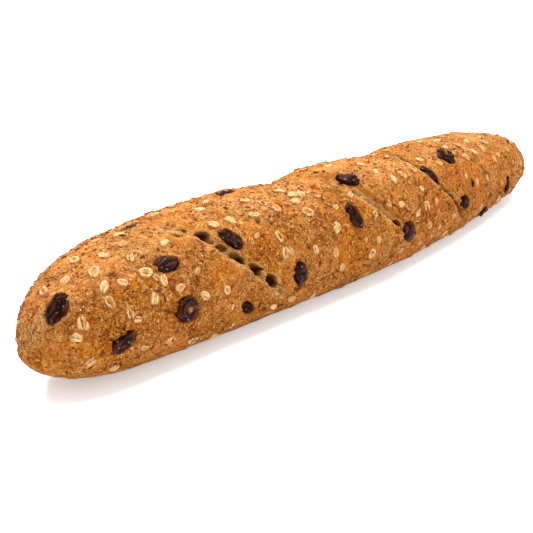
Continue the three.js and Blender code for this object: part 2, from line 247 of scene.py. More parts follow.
def bubble_at(lane, around):
    """How far a place lies inside a burst bubble, from 0 at its rim to 1 in its middle: a leaning
    oval, squarer than an ellipse, beside the cut's line. Also that share times the bubble's depth
    in millimetres, how near the rim is, as a bell, how far inside it the place lies as a share of
    the size, and how dark the painted shade inside it is, by that share, the bubble's depth and
    how near the place lies to its lower end, or high on the crown to its upper end."""
    lane, turn = np.broadcast_arrays(lane + wander(lane, around), turned(around))
    inside, deep, rim, dark = np.zeros((4, *turn.shape))
    hole = np.full(turn.shape, -1.0)
    place = np.stack([lane, turn * 0.5, 0 * lane], -1)
    ragged = waves(place, 3.4, 24) + 0.6 * waves(place, 1.5, 29)
    for cut in CUTS:
        d = (lane - cut["path"][CROWN]) * SQUARE
        for first, last, wide, depth in cut["bubbles"]:
            s = (2 * turn - first - last) / (last - first) + 0.2 * ragged
            e = 2 * (d + LEAN * (turn - (first + last) / 2)) / wide - 1 + 0.28 * ragged
            reach = (np.abs(s) ** 2.5 + np.abs(e) ** 2.5) ** 0.4
            share = np.sqrt(np.clip(1 - reach ** 2, 0, 1))
            inside = np.maximum(inside, share)
            deep = np.maximum(deep, share * depth)
            # Painted shade in the hole: darkest deep in it and at the end turned from the light.
            end = s if first + last > 100 else -s
            shade = 0.3 + 0.7 * smooth(end, -0.75, 0.35)
            dark = np.maximum(dark, smooth(share, 0, 0.8) * smooth(depth, 1.4, 2.9) * shade)
            rim = np.maximum(rim, bell(reach - 1.06, 0.09))
            hole = np.maximum(hole, 1 - reach)
    return inside, deep, rim, hole, dark


def craggy_share(points):
    """Where the crust has broken up in the oven, as patches from 0 (smooth) to 1 (crumbly)."""
    return smooth(waves(points, 14.0, 18) + 0.6 * waves(points, 5.0, 19), -0.6, 0.55)


def creases(points):
    """Short dark creases in the skin, from 0 to 1: where one wave crosses zero and another runs
    high."""
    near = bell(waves(points * (0.7, 1, 1), 6.0, 15), 0.1)
    return near * smooth(waves(points, 8.0, 16), 0.0, 0.4)


def crags(points, around):
    """The dough's roughness: slow swellings, knobbly grain over them that is stronger in the
    crumbly patches, creases, and small blisters where a wave runs high."""
    free = 1 - 0.6 * smooth(np.abs(turned(around)), 120, 150)
    lumps = 0.5 * waves(points, 17.0, 11) + 0.42 * waves(points, 7.5, 12)
    grain = 0.34 * waves(points, 3.4, 13) + 0.34 * waves(points, 1.8, 14)
    grain = grain * (0.5 + 0.75 * craggy_share(points))
    blister = 0.5 * smooth(waves(points, 4.0, 17), 0.4, 0.7)
    return free * (lumps + grain + blister - 0.6 * creases(points))


def baked(lane, around):
    """The whole crust: the shaped loaf and its crags, a seat with an uneven rim round each
    raisin, and bubbles pressed in and under the lip. Also gives the masks for its finish."""
    lane, around = np.broadcast_arrays(lane, around)
    point, normal, along = shaped(lane, around)
    turn = turned(around)
    rough = crags(point, around)
    stretch, lip, under = np.zeros((3, *rough.shape))
    strayed = lane + wander(lane, around)
    for cut in CUTS:
        d = (strayed - cut["path"][CROWN]) * SQUARE
        opened = smooth(turn, cut["starts"] + 15, cut["starts"] + 60) * (1 - smooth(turn, 95, 118))
        stretch = np.maximum(stretch, opened * smooth(d, 0.2, 2.0) * (1 - smooth(d, 5, 15)))
        front = opened * smooth(turn, -10, 10)
        lip = np.maximum(lip, front * bell(d - cut["edge"], 0.9))
        # Painted shade on the crust just beyond each lip, where the lip's shade would fall.
        share, behind, wide = cut["brown"]
        under = np.maximum(under, share * front * bell(d - behind, wide))
    out = rough * (1 - 0.45 * stretch)
    seat = np.zeros(rough.shape)
    ragged = waves(point, 2.6, 21)
    creep = smooth(waves(point, 3.6, 28), 0.05, 0.45)
    for n, (x, angle, length, width, turning, sunk, *_) in enumerate(RAISINS):
        near = np.abs(point[..., 0] - x) < length
        axes, middle = place_on(np.float64(x), np.float64(angle), np.float64(turning))
        u, v, w = np.moveaxis((point[near] - middle) @ axes.T, -1, 0)
        q = np.hypot(u / (length / 2), v / (width / 2)) + 0.07 * ragged[near] + 0.3 * creep[near]
        q = np.where(w < -8, 9.0, q)
        rim = (0.5 + 0.8 * creep[near]) * bell(q - 1.1, 0.17) * (0.7 + 0.7 * ragged[near])
        pit = (0.7 + RAISIN_THICK * width / 2) * (1 - smooth(q, 0.6, 0.97))
        level = 1 - smooth(q, 0.95, 1.25)
        out[near] = out[near] * (1 - 0.7 * level) + rim - pit
        seat[near] = np.maximum(seat[near], 1 - smooth(q, 0.9, 1.25))
    inside, deep, rim, hole, dark = bubble_at(lane, around)
    pores = 0.2 * waves(point, 1.3, 22)
    out = out - deep + 0.25 * rim + pores * smooth(inside, 0.1, 0.5)
    lip = np.maximum(lip, rim)
    point = point + normal * out[..., None] - along * (0.25 * deep)[..., None]
    floor = 0.12 + 0.1 * waves(point * (1, 1, 0), 3.1, 23)
    point[..., 2] = np.maximum(point[..., 2], floor)
    masks = dict(hole=hole, dark=dark, stretch=stretch, under=under, lip=lip, seat=seat,
                 rough=np.clip(0.5 + rough / 1.6, 0, 1),
                 craggy=craggy_share(point) * (1 - 0.5 * stretch), crease=creases(point),
                 flank=smooth(np.abs(turn), 15, 62), belly=smooth(np.abs(turn), 92, 128))
    return point, normal, masks


def net_faces(rows, columns):
    """Faces of a net whose columns run round and whose two ends close on a point: the first
    point, then row after row, then the last point."""
    column = np.arange(columns)
    after = (column + 1) % columns
    row = 1 + columns * np.arange(rows - 1)[:, None]
    quads = np.stack([row + column, row + after, row + columns + after, row + columns + column], -1)
    last = 1 + columns * rows
    start = np.stack([np.zeros(columns, int), 1 + after, 1 + column], -1)
    end = np.stack([np.full(columns, last), last - columns + column, last - columns + after], -1)
    return quads.reshape(-1, 4).tolist() + start.tolist() + end.tolist()


def piece(name, points, faces, finish, masks=None):
    """A smooth-shaded mesh object in metres from points in millimetres, with its masks."""
    mesh = bpy.data.meshes.new(name)
    mesh.from_pydata((points.reshape(-1, 3) / 1000).tolist(), [], faces)
    for key, values in (masks or {}).items():
        layer = mesh.attributes.new(key, "FLOAT", "POINT")
        layer.data.foreach_set("value", np.asarray(values, np.float32).ravel())
    mesh.materials.append(finish)
    mesh.shade_smooth()
    made = bpy.data.objects.new(name, mesh)
    bpy.context.scene.collection.objects.link(made)
    return made


def with_map(made, places, name):
    """Gives each corner of a mesh its point's two numbers as a UV map."""
    layer = made.data.uv_layers.new(name=name)
    corner = np.empty(len(made.data.loops), np.int32)
    made.data.loops.foreach_get("vertex_index", corner)
    layer.data.foreach_set("uv", places.reshape(-1, 2)[corner].astype(np.float32).ravel())
    return made


def even_lanes(count):
    """Lanes at even steps of the skin's own length from tip to tip, closer beside the cuts."""
    x = LENGTH / 2 * np.sin(np.linspace(-np.pi / 2, np.pi / 2, 8001))
    side = dough(x, 90.0)
    beside = sum(bell(x - cut["path"][CROWN] - 1.5, 6) for cut in CUTS)
    steps = np.linalg.norm(np.diff(side, axis=0), axis=1) * (1 + 1.3 * beside[1:])
    run = np.concatenate([[0], np.cumsum(steps)])
    return np.interp(np.linspace(0, run[-1], count + 2)[1:-1], run, x)


def even_rounds(count):
    """Angles all the way round: closest over the crown and the cut flank, wide apart beneath."""
    angle = np.linspace(-180, 180, 3601)
    weight = 0.3 + 0.3 * smooth(angle, -135, -115) + 0.4 * smooth(angle, -40, -10)
    weight = 0.3 + (weight - 0.3) * (1 - smooth(angle, 118, 135))
    run = np.concatenate([[0], np.cumsum(weight[1:])])
    return np.interp(np.linspace(0, run[-1], count + 1)[:-1], run, angle)


def add(tree, kind, inputs=None, **settings):
    """One shader node with its settings, and numbers or other nodes' outputs in its sockets."""
    made = tree.nodes.new("ShaderNode" + kind)
    for key, value in settings.items():
        setattr(made, key, value)
    for key, value in (inputs or {}).items():
        if isinstance(value, bpy.types.NodeSocket):
            tree.links.new(value, made.inputs[key])
        else:
            made.inputs[key].default_value = value
    return made


def blend(tree, share, a, b, how="MIX"):
    """Colour a going over to colour b by a share."""
    colours = [c if isinstance(c, bpy.types.NodeSocket) else (*c, 1.0) for c in (a, b)]
    made = add(tree, "Mix", {0: share, 6: colours[0], 7: colours[1]}, data_type="RGBA", blend_type=how)
    return made.outputs[2]


def combine(tree, how, a, b):
    """Arithmetic on two numbers."""
    return add(tree, "Math", {0: a, 1: b}, operation=how).outputs[0]


def times(tree, a, b):
    """Two numbers multiplied."""
    return combine(tree, "MULTIPLY", a, b)


def ramp(tree, value, low, high, start=0.0, end=1.0):
    """A smooth step: start up to low, and end from high."""
    inputs = {"Value": value, "From Min": low, "From Max": high, "To Min": start, "To Max": end}
    return add(tree, "MapRange", inputs, interpolation_type="SMOOTHSTEP").outputs["Result"]


def cloud(tree, place, scale, detail=3.0, rough=0.55, twist=0.0):
    """Soft noise, scale counted in waves for each metre, drawn out into curls by a twist."""
    inputs = {"Vector": place, "Scale": scale, "Detail": detail, "Roughness": rough,
              "Distortion": twist}
    return add(tree, "TexNoise", inputs).outputs["Fac"]


def mask(tree, name):
    """One of the masks stored with the mesh."""
    return add(tree, "Attribute", attribute_name=name).outputs["Fac"]


def streaks(tree, drawn, scale):
    """Noise drawn out into lines, over the map of lanes and rounds."""
    place = add(tree, "VectorMath", {0: drawn, 1: scale}, operation="MULTIPLY").outputs[0]
    return cloud(tree, place, 1.0, 4, 0.65)


def flecks(tree, place, scale, size, chance):
    """Round flecks: inside this distance of a random cell's middle, in a share of the cells."""
    cell = add(tree, "TexVoronoi", {"Vector": place, "Scale": scale})
    lucky = add(tree, "SeparateColor", {"Color": cell.outputs["Color"]}).outputs[0]
    near = ramp(tree, cell.outputs["Distance"], size * 0.6, size, 1.0, 0.0)
    return combine(tree, "MULTIPLY", near, combine(tree, "LESS_THAN", lucky, chance))


def new_finish(name, roughness, specular):
    """An empty node material with its shader set to this roughness and specular level."""
    finish = bpy.data.materials.new(name)
    finish.use_nodes = True
    tree = finish.node_tree
    shader = tree.nodes["Principled BSDF"]
    shader.inputs["Roughness"].default_value = roughness
    shader.inputs["Specular IOR Level"].default_value = specular
    return finish, tree, shader


def crust_finish():
    """Baked wholegrain crust: tan over the top and amber on the flanks, the amber partly painted
    shade for sides turned from the light, golden where it has stretched, mottled in blotches and
    rusty patches. Curled grain over it is light on its crests and brown in its hollows, a painted
    highlight and painted shade on its bumps, most of all in crumbly patches. Then thin cracks and
    creases darkened by painted shade, pale lips partly lit by a painted highlight with painted
    shade beyond them, bran flecks, specks of flour that are also painted glints, painted shade
    round the raisins' seats, and in the holes crumb under a painted shade that deepens towards
    their deep end, inside a pale rim that is partly a painted highlight."""
    finish, tree, shader = new_finish("baked crust", 0.62, 0.012)
    place = add(tree, "TexCoord").outputs["Object"]
    tan, amber, gold = (0.425, 0.197, 0.062), (0.345, 0.093, 0.0035), (0.360, 0.116, 0.006)
    brown, light, cream = (0.120, 0.017, 0.001), (0.50, 0.238, 0.052), (0.68, 0.48, 0.24)
    dull, rust, orange = (0.245, 0.080, 0.008), (0.25, 0.062, 0.006), (0.355, 0.075, 0.003)
    cleft, shaded, torn_and_lit = (0.085, 0.016, 0.002), (0.105, 0.028, 0.004), (0.52, 0.29, 0.105)
    husk, speck, floury_glint = (0.080, 0.018, 0.004), (0.10, 0.023, 0.004), (0.85, 0.68, 0.50)
    damp, pale, brim = (0.33, 0.155, 0.044), (0.52, 0.30, 0.12), (0.50, 0.27, 0.085)
    olive, black = (0.19, 0.068, 0.013), (0.030, 0.006, 0.0005)
    craggy = mask(tree, "craggy")
    drawn = add(tree, "UVMap", uv_map="drawn").outputs["UV"]
    strand = streaks(tree, drawn, (1.3, 0.07, 0))
    fibre = streaks(tree, drawn, (0.12, 0.7, 0))
    blotch = ramp(tree, cloud(tree, place, 60, 3), 0.42, 0.6)
    rusty = ramp(tree, cloud(tree, place, 95, 3, 0.6, 0.6), 0.53, 0.68, 0, 0.65)
    mottle = cloud(tree, place, 200, 4, 0.65, 0.8)
    grain = cloud(tree, place, 400, 2.5, 0.68, 2.2)
    fine = cloud(tree, place, 1150, 2, 0.9)
    # Amber on the flanks and a duller colour on the belly: partly the bake, partly painted shade on the
    # sides turned from the overhead light.
    browned = times(tree, mask(tree, "flank"), 0.65)
    colour = blend(tree, combine(tree, "ADD", browned, times(tree, blotch, 0.35)), tan, amber)
    colour = blend(tree, times(tree, mask(tree, "belly"), 0.6), colour, dull)
    colour = blend(tree, times(tree, mask(tree, "stretch"), 0.6), colour, gold)
    colour = blend(tree, rusty, colour, orange)
    colour = blend(tree, ramp(tree, mottle, 0.48, 0.34, 0, 0.85), colour, rust)
    colour = blend(tree, ramp(tree, mottle, 0.54, 0.68, 0, 0.6), colour, light)
    for lines, where in ((strand, "stretch"), (fibre, "belly")):
        raised = times(tree, ramp(tree, lines, 0.5, 0.66, 0, 0.6), mask(tree, where))
        sunken = times(tree, ramp(tree, lines, 0.48, 0.36, 0, 0.6), mask(tree, where))
        colour = blend(tree, sunken, blend(tree, raised, colour, light), rust)
    toasted = times(tree, ramp(tree, mask(tree, "rough"), 0.55, 0.95), 0.35)
    colour = blend(tree, toasted, colour, brown)
    # Where each noise passes from low to high, and the least and most of the colour laid there.
    # The grain and fine noise also raise the bump, so the light and cream on their highs are painted
    # highlights on the crests, and the rust and brown on their lows are painted shade in the hollows.
    for noise, low, high, least, most, over in (
            (grain, 0.53, 0.62, 0.45, 0.7, light), (grain, 0.62, 0.70, 0.2, 0.4, cream),
            (grain, 0.48, 0.40, 0.5, 0.75, rust), (grain, 0.41, 0.34, 0.3, 0.8, brown),
            (fine, 0.55, 0.63, 0.25, 0.4, light), (fine, 0.61, 0.69, 0.25, 0.6, cream),
            (fine, 0.45, 0.36, 0.45, 0.75, brown)):
        share = times(tree, ramp(tree, noise, low, high), ramp(tree, craggy, 0, 1, least, most))
        colour = blend(tree, share, colour, over)
    # Thin cracks, sunk in the bump and darkened with brown as painted shade in them.
    off = combine(tree, "SUBTRACT", cloud(tree, place, 150, 3), 0.5)
    crack = ramp(tree, combine(tree, "ABSOLUTE", off, 0), 0.0, 0.012, 1, 0)
    crack = times(tree, crack, ramp(tree, cloud(tree, place, 110, 1), 0.5, 0.56))
    colour = blend(tree, times(tree, crack, 0.8), colour, brown)
    # Painted shade: the creases, sunk in the geometry, are darkened to the cleft colour.
    colour = blend(tree, ramp(tree, mask(tree, "crease"), 0.35, 0.8, 0, 0.8), colour, cleft)
    # The pale torn edge along each lip and round each hole's rim, partly a painted highlight on the crest.
    edge = times(tree, mask(tree, "lip"), ramp(tree, grain, 0.4, 0.6, 0.15, 0.75))
    # Painted shade behind each lip, in the shaded colour.
    colour = blend(tree, mask(tree, "under"), colour, shaded)
    colour = blend(tree, edge, colour, torn_and_lit)
    bran = flecks(tree, place, 430, 0.24, 0.24)
    small = flecks(tree, place, 850, 0.3, 0.22)
    colour = blend(tree, times(tree, bran, 0.9), colour, husk)
    colour = blend(tree, times(tree, small, 0.85), colour, speck)
    # Specks of flour that are also painted glints: pale flecks that stand in for highlights, most in
    # crumbly patches.
    flour_and_glint = times(tree, flecks(tree, place, 900, 0.25, 0.11), ramp(tree, craggy, 0, 1, 0.4, 0.9))
    colour = blend(tree, flour_and_glint, colour, floury_glint)
    pore = ramp(tree, cloud(tree, place, 900, 2), 0.4, 0.6)
    crumb = blend(tree, pore, damp, pale)
    # Painted shade inside the holes: the crumb goes over to olive, then near black where the hole is deep.
    crumb = blend(tree, ramp(tree, mask(tree, "dark"), 0.0, 0.35), crumb, olive)
    crumb = blend(tree, ramp(tree, mask(tree, "dark"), 0.35, 0.95), crumb, black)
    hole = mask(tree, "hole")
    # A pale rim round each hole, partly a painted highlight on its edge.
    colour = blend(tree, ramp(tree, hole, -0.13, -0.03, 0, 0.7), colour, brim)
    colour = blend(tree, ramp(tree, hole, 0.0, 0.06), colour, crumb)
    # Painted shade round each raisin, in the seat where the crust meets it.
    colour = blend(tree, times(tree, mask(tree, "seat"), 0.25), colour, brown)
    tree.links.new(colour, shader.inputs["Base Color"])
    tree.links.new(ramp(tree, fine, 0.35, 0.65, 0.7, 0.4), shader.inputs["Roughness"])
    height = combine(tree, "ADD", times(tree, grain, 1.8), fine)
    height = times(tree, height, ramp(tree, craggy, 0, 1, 0.6, 1.1))
    sunk = combine(tree, "ADD", times(tree, bran, 0.2), times(tree, crack, 0.5))
    height = combine(tree, "SUBTRACT", height, sunk)
    bump = add(tree, "Bump", {"Height": height, "Strength": 0.9, "Distance": 0.0011})
    tree.links.new(bump.outputs["Normal"], shader.inputs["Normal"])
    return finish


LANES, ROUNDS = 510, 195
lanes, rounds = even_lanes(LANES), even_rounds(ROUNDS)
skin, _, skin_masks = baked(lanes[:, None], rounds[None, :])
tips = dough(np.array([-LENGTH / 2, LENGTH / 2]), 0.0)
skin = np.concatenate([tips[:1], skin.reshape(-1, 3), tips[1:]])
skin_masks = {key: np.pad(values.ravel(), 1, mode="edge") for key, values in skin_masks.items()}
drawn = np.stack(np.meshgrid(lanes, rounds, indexing="ij"), -1).reshape(-1, 2)
drawn = np.concatenate([drawn[:1], drawn, drawn[-1:]])
crust = piece("crust", skin, net_faces(len(lanes), len(rounds)), crust_finish(), skin_masks)
crust = with_map(crust, drawn, "drawn")
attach(crust, "root")
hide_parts("loaf")


# Raisins are dried grapes that were kneaded in and show where the dough has stretched over them.
# Each is a flat egg of dark, slightly shiny skin that has shrunk into deep folds, sitting in its
# seat with its top fallen in.
RAISIN_ROWS, RAISIN_COLUMNS = 46, 64


def raisin_skin(raisin, seed):
    """A net from end to end: an ellipsoid, its skin pushed out by the size of two crossing waves
    so that folds are round and the creases between them sharp, its top pressed in by a bell."""
    length, width, fallen, curl = raisin[2], raisin[3], raisin[6], raisin[7]
    half = np.array([length, width, width * RAISIN_THICK]) / 2
    end = np.linspace(0, np.pi, RAISIN_ROWS + 2)[1:-1, None]
    ring = np.linspace(0, 2 * np.pi, RAISIN_COLUMNS, endpoint=False)[None, :]
    girth = np.sin(end) ** 0.85
    unit = np.stack(np.broadcast_arrays(-np.cos(end), girth * np.cos(ring), girth * np.sin(ring)), -1)
    base = unit * half
    drawn = base * (0.4, 1, 1) + 50.0 * seed
    drawn = drawn + 0.9 * waves(base + 90.0 * seed, 4.0, 34)[..., None]
    fold = np.abs(waves(drawn, 2.3, 31)) ** 0.7 + 0.3 * np.abs(waves(drawn, 1.2, 32))
    lump = 0.2 * waves(base + 70.0 * seed, 5.5, 35) + 0.1 * waves(base + 70.0 * seed, 3.0, 36)
    q = np.hypot(unit[..., 0], unit[..., 1])
    if seed in DIMPLED:
        fold = 0.55 * fold + 0.5 * np.abs(np.sin(q * 9 + waves(base, 3.0, 33)))
    shape = base * (0.95 + (lump + 0.46 * (fold - 0.5))[..., None] * (0.5, 1, 1))
    film = smooth(waves(base + 40.0 * seed, 4.5, 37) * 1.2 + FILMED.get(seed, 0) * 2 - 1.0, -0.1, 0.15)
    if seed in DIMPLED:
        film = bell(q, 0.2)
    shape[..., 2] -= np.where(unit[..., 2] > 0, fallen * bell(q, 0.5) - 0.25 * film, 0)
    shape[..., 1] += curl * (1.2 * unit[..., 0] ** 2 - 0.5)
    ends = shape[[0, -1]].mean(1)
    points = np.concatenate([ends[:1], shape.reshape(-1, 3), ends[1:]])
    masks = dict(fold=np.clip(fold, 0, 1.4), film=film, end=np.abs(unit[..., 0]) ** 3)
    return points, {key: np.pad(values.ravel(), 1, mode="edge") for key, values in masks.items()}


def raisin_finish(name, specular):
    """Raisin skin: near black in its creases, partly painted shade, dark red brown on its folds,
    redder at the ends and in patches, with a pale dusty bloom along some crests that is also a
    painted highlight, a few specks of sugar that are also painted glints, and gold where a film of
    crust lies over it."""
    finish, tree, shader = new_finish(name, 0.3, specular)
    shader.inputs["Specular Tint"].default_value = (1.0, 0.80, 0.70, 1)
    place = add(tree, "TexCoord").outputs["Object"]
    crease, skin_brown, skin_red = (0.009, 0.002, 0.001), (0.046, 0.0105, 0.005), (0.130, 0.021, 0.008)
    dusty, whitish, sugar_glint = (0.17, 0.055, 0.025), (0.40, 0.25, 0.20), (0.42, 0.33, 0.30)
    toffee, honey = (0.20, 0.055, 0.008), (0.42, 0.20, 0.06)
    fold = mask(tree, "fold")
    patch = cloud(tree, place, 260, 3)
    # Near black in the creases between folds: the raisin's own dark colour deepened by painted shade.
    colour = blend(tree, ramp(tree, fold, 0.3, 1.1), crease, skin_brown)
    red = combine(tree, "ADD", ramp(tree, patch, 0.52, 0.66, 0, 0.5), times(tree, mask(tree, "end"), 0.4))
    colour = blend(tree, times(tree, red, ramp(tree, fold, 0.2, 0.8)), colour, skin_red)
    dust = cloud(tree, place, 620, 3, 0.6)
    colour = blend(tree, ramp(tree, dust, 0.56, 0.7, 0, 0.25), colour, dusty)
    # A pale dusty bloom on the highest crests of the folds, also a painted highlight there.
    bloom_and_highlight = times(tree, ramp(tree, fold, 0.75, 1.0), ramp(tree, dust, 0.53, 0.64, 0, 0.75))
    colour = blend(tree, bloom_and_highlight, colour, whitish)
    # Specks of sugar that are also painted glints.
    colour = blend(tree, times(tree, flecks(tree, place, 800, 0.24, 0.12), 0.55), colour, sugar_glint)
    thin = ramp(tree, cloud(tree, place, 700, 3), 0.4, 0.6)
    thin = blend(tree, thin, toffee, honey)
    film = times(tree, mask(tree, "film"), ramp(tree, patch, 0.4, 0.5, 0.5, 0.95))
    colour = blend(tree, film, colour, thin)
    tree.links.new(colour, shader.inputs["Base Color"])
    tree.links.new(ramp(tree, patch, 0.35, 0.65, 0.16, 0.34), shader.inputs["Roughness"])
    bump = add(tree, "Bump", {"Height": cloud(tree, place, 600, 3, 0.6), "Strength": 0.5,
                              "Distance": 0.0007})
    tree.links.new(bump.outputs["Normal"], shader.inputs["Normal"])
    return finish


glossy = raisin_finish("raisin skin", 0.055)
dry = raisin_finish("dry raisin skin", 0.008)
raisin_faces = net_faces(RAISIN_ROWS, RAISIN_COLUMNS)
for number, raisin in enumerate(RAISINS, 1):
    points, masks = raisin_skin(raisin, number)
    x, angle, turning, sunk = (np.float64(raisin[column]) for column in (0, 1, 4, 5))
    axes, middle = place_on(x, angle, turning, -sunk)
    finish = dry if number in DRY else glossy
    fruit = piece(f"fruit_{number:02d}", points @ axes + middle, raisin_faces, finish, masks)
    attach(fruit, "root")
    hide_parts(f"raisin_{number:02d}")


# Rolled oats were sprinkled on the damp dough and baked fast. Each is a thin oval flake of cream
# oat with a crease along its middle and toasted edges, lying flat on the crust: x, round, length
# in millimetres and turn of the large ones, then the rest by an even chance over the loaf.
OATS = [
    (-139, 19, 8, 128), (-139, -5, 6, 100), (-132, 9, 5.5, 60), (-126, 26, 5, 120),
    (-119, -4, 6.5, 15), (-111, 26, 5.5, 160), (-125, 43, 6.5, 20),
    (-120, 55, 5.5, 95), (-122, 51, 4.5, 60), (-115, 66, 5.5, 170), (-126, 66, 6, 120),
    (-140, 37, 6, 130), (-134, 42, 5, 40), (-141, 52, 6, 80), (-136, 70, 5, 90),
    (-134, 77, 4, 20), (-151, 58, 6.5, 100), (-154, 70, 5.5, 30), (-151, 102, 5, 140),
    (-153, -4, 5.5, 110), (-85, 5, 6.5, 15), (-78, -2, 5.5, 150), (-80, 27, 6, 70),
    (-66, 12, 5.5, 30), (-69, 29, 6, 15), (-61, 21, 5, 60), (-58, 31, 5.5, 25),
    (-48, 14, 6, 40), (-45, 22, 6.5, 20), (-42, 24, 5.5, 75), (-47, 29, 6, 10),
    (-46, 43, 6.5, 45), (-65, 55, 6, 80), (-65, 70, 6.5, 95), (-62, 70, 5, 60),
    (-8, -4, 6, 20), (4, 9, 6, 50), (10, 38, 5.5, 110), (18, 36, 6, 60), (74, 3, 6.5, 10),
    (86, -4, 6, 30), (92, 19, 5.5, 120), (76, 40, 6, 80), (88, 37, 6.5, 30), (107, 26, 6, 75),
    (104, 54, 6, 95), (110, 50, 5.5, 40), (-36, 64, 6.5, 95), (-39, 85, 5.5, 80),
    (-17, 96, 6, 110), (-13, 88, 5, 70), (-35, 98, 5.5, 100), (-50, 76, 5, 85),
    (24, 74, 6, 100), (-94, 96, 6, 110), (-114, 91, 4.5, 60), (-110, 117, 6, 20),
    (-99, 124, 5.5, 150), (-96, 82, 5, 75),
]
OAT_SHRINK = 0.88  # each large flake's length as a share of the one listed
MORE_OATS = 170
OAT_APART = 7.4
OAT_SIDES = 14
OAT_RINGS = [(0.35, 1.0), (0.62, 1.0), (0.87, 0.75), (1.0, -0.6)]
CURVE = 27.0  # radius of the crust under a flake


def scattered(rng, tries, apart, fixed, count, low, high):
    """Places on the loaf chosen by even chance, each kept if it lies clear of those before it, of
    the raisins and of the cuts' edges."""
    x = rng.uniform(-LENGTH / 2 + 3, LENGTH / 2 - 3, tries)
    angle = rng.uniform(low, high, tries)
    lane = lane_of(x, angle)
    point = shaped(lane, angle)[0]
    clear = point[:, 2] > 1.5
    for cut in CUTS:
        d = (lane - cut["path"][CROWN]) * SQUARE
        clear &= (np.abs(d - 2) > 5) | (angle < -5) | (angle > 110)
    for fruit_x, fruit_angle, length, *_ in RAISINS:
        middle = place_on(np.float64(fruit_x), np.float64(fruit_angle), np.float64(0))[1]
        clear &= np.linalg.norm(point - middle, axis=1) > length / 2 + apart * 0.35
    taken = list(fixed)
    chosen = []
    for n in np.flatnonzero(clear):
        if len(chosen) == count:
            break
        if not taken or np.linalg.norm(np.array(taken) - point[n], axis=1).min() > apart:
            taken.append(point[n])
            chosen.append(n)
    return x[chosen], angle[chosen]


def flakes(x, angle, length, wide, turn, height, rings, sides, seed, crease=0.0, dish=0.0):
    """Thin flakes, all at once: rings of points on an uneven oval, each ring a share of the rim and
    a share of the height, lowered along a bowed crease and in a dished middle, bent to the loaf."""
    rng = np.random.default_rng(seed)
    around = np.linspace(0, 2 * np.pi, sides, endpoint=False)[None, :]
    count = len(x)
    phase = rng.uniform(0, 2 * np.pi, (3, count, 1))
    edge = 1 + 0.08 * np.cos(3 * around + phase[0]) + 0.06 * np.cos(5 * around + phase[1])
    edge = edge + 0.08 * rng.standard_normal((count, sides)) - 0.08 * np.cos(2 * around + phase[2])
    u, v = edge * np.cos(around), edge * np.sin(around)
    share = np.array([ring[0] for ring in rings])[None, :, None]
    rise = np.array([ring[1] for ring in rings])[None, :, None]
    u, v = u[:, None] * share, v[:, None] * share
    tilt = rng.normal(0, 0.16, (2, count, 1, 1))
    crease, dish = (np.broadcast_to(part, count)[:, None, None] for part in (crease, dish))
    bow = 0.3 * np.sin(phase[0])[..., None]
    groove = crease * bell(v - bow * (1 - u ** 2), 0.15) * (share < 0.95)
    up = rise - groove - dish * (1 - smooth(share, 0.25, 0.8)) + tilt[0] * u + tilt[1] * v
    u = np.concatenate([np.zeros((count, 1)), u.reshape(count, -1)], 1)
    v = np.concatenate([np.zeros((count, 1)), v.reshape(count, -1)], 1)
    top = 1.0 - (crease * bell(bow, 0.15))[:, 0] - dish[:, 0]
    up = np.concatenate([top, np.broadcast_to(up, (count, len(rings), sides)).reshape(count, -1)], 1)
    axes, middle = place_on(x, angle, turn)
    normal = axes[:, 2]
    seat = crags(middle, angle)[:, None, None]
    local = np.stack([u * (length / 2)[:, None], v * (wide / 2)[:, None], up * height[:, None]], -1)
    flat = np.einsum("nki,nij->nkj", local, axes)
    reach = np.linalg.norm(flat[..., 1:], axis=-1)
    tip = smooth(np.abs(x), 125, 160)[:, None]
    sag = (reach ** 2 + flat[..., 0] ** 2 * tip) / (2 * CURVE)
    points = middle[:, None] + flat + normal[:, None] * (seat - sag[..., None])
    faces = flake_faces(count, len(rings), sides)
    spot = np.stack([u, v], -1) * 0.5 + 0.5
    groove = (crease * bell(v[:, None] - bow * (1 - u[:, None] ** 2), 0.2))[:, 0]
    return points, faces, spot, groove


def flake_faces(count, rings, sides):
    """Faces of each flake: a fan round its middle, a strip to each next ring, and one face below."""
    a = np.arange(sides)
    b = (a + 1) % sides
    fan = np.stack([np.zeros(sides, int), 1 + a, 1 + b], -1)
    strip = [np.stack([1 + r * sides + a, 1 + (r + 1) * sides + a, 1 + (r + 1) * sides + b,
                       1 + r * sides + b], -1) for r in range(rings - 1)]
    under = (1 + (rings - 1) * sides + a[::-1])[None, :]
    step = (1 + rings * sides) * np.arange(count)[:, None, None]
    return [face for kind in (fan, np.concatenate(strip), under)
            for face in (kind[None] + step).reshape(-1, kind.shape[-1]).tolist()]


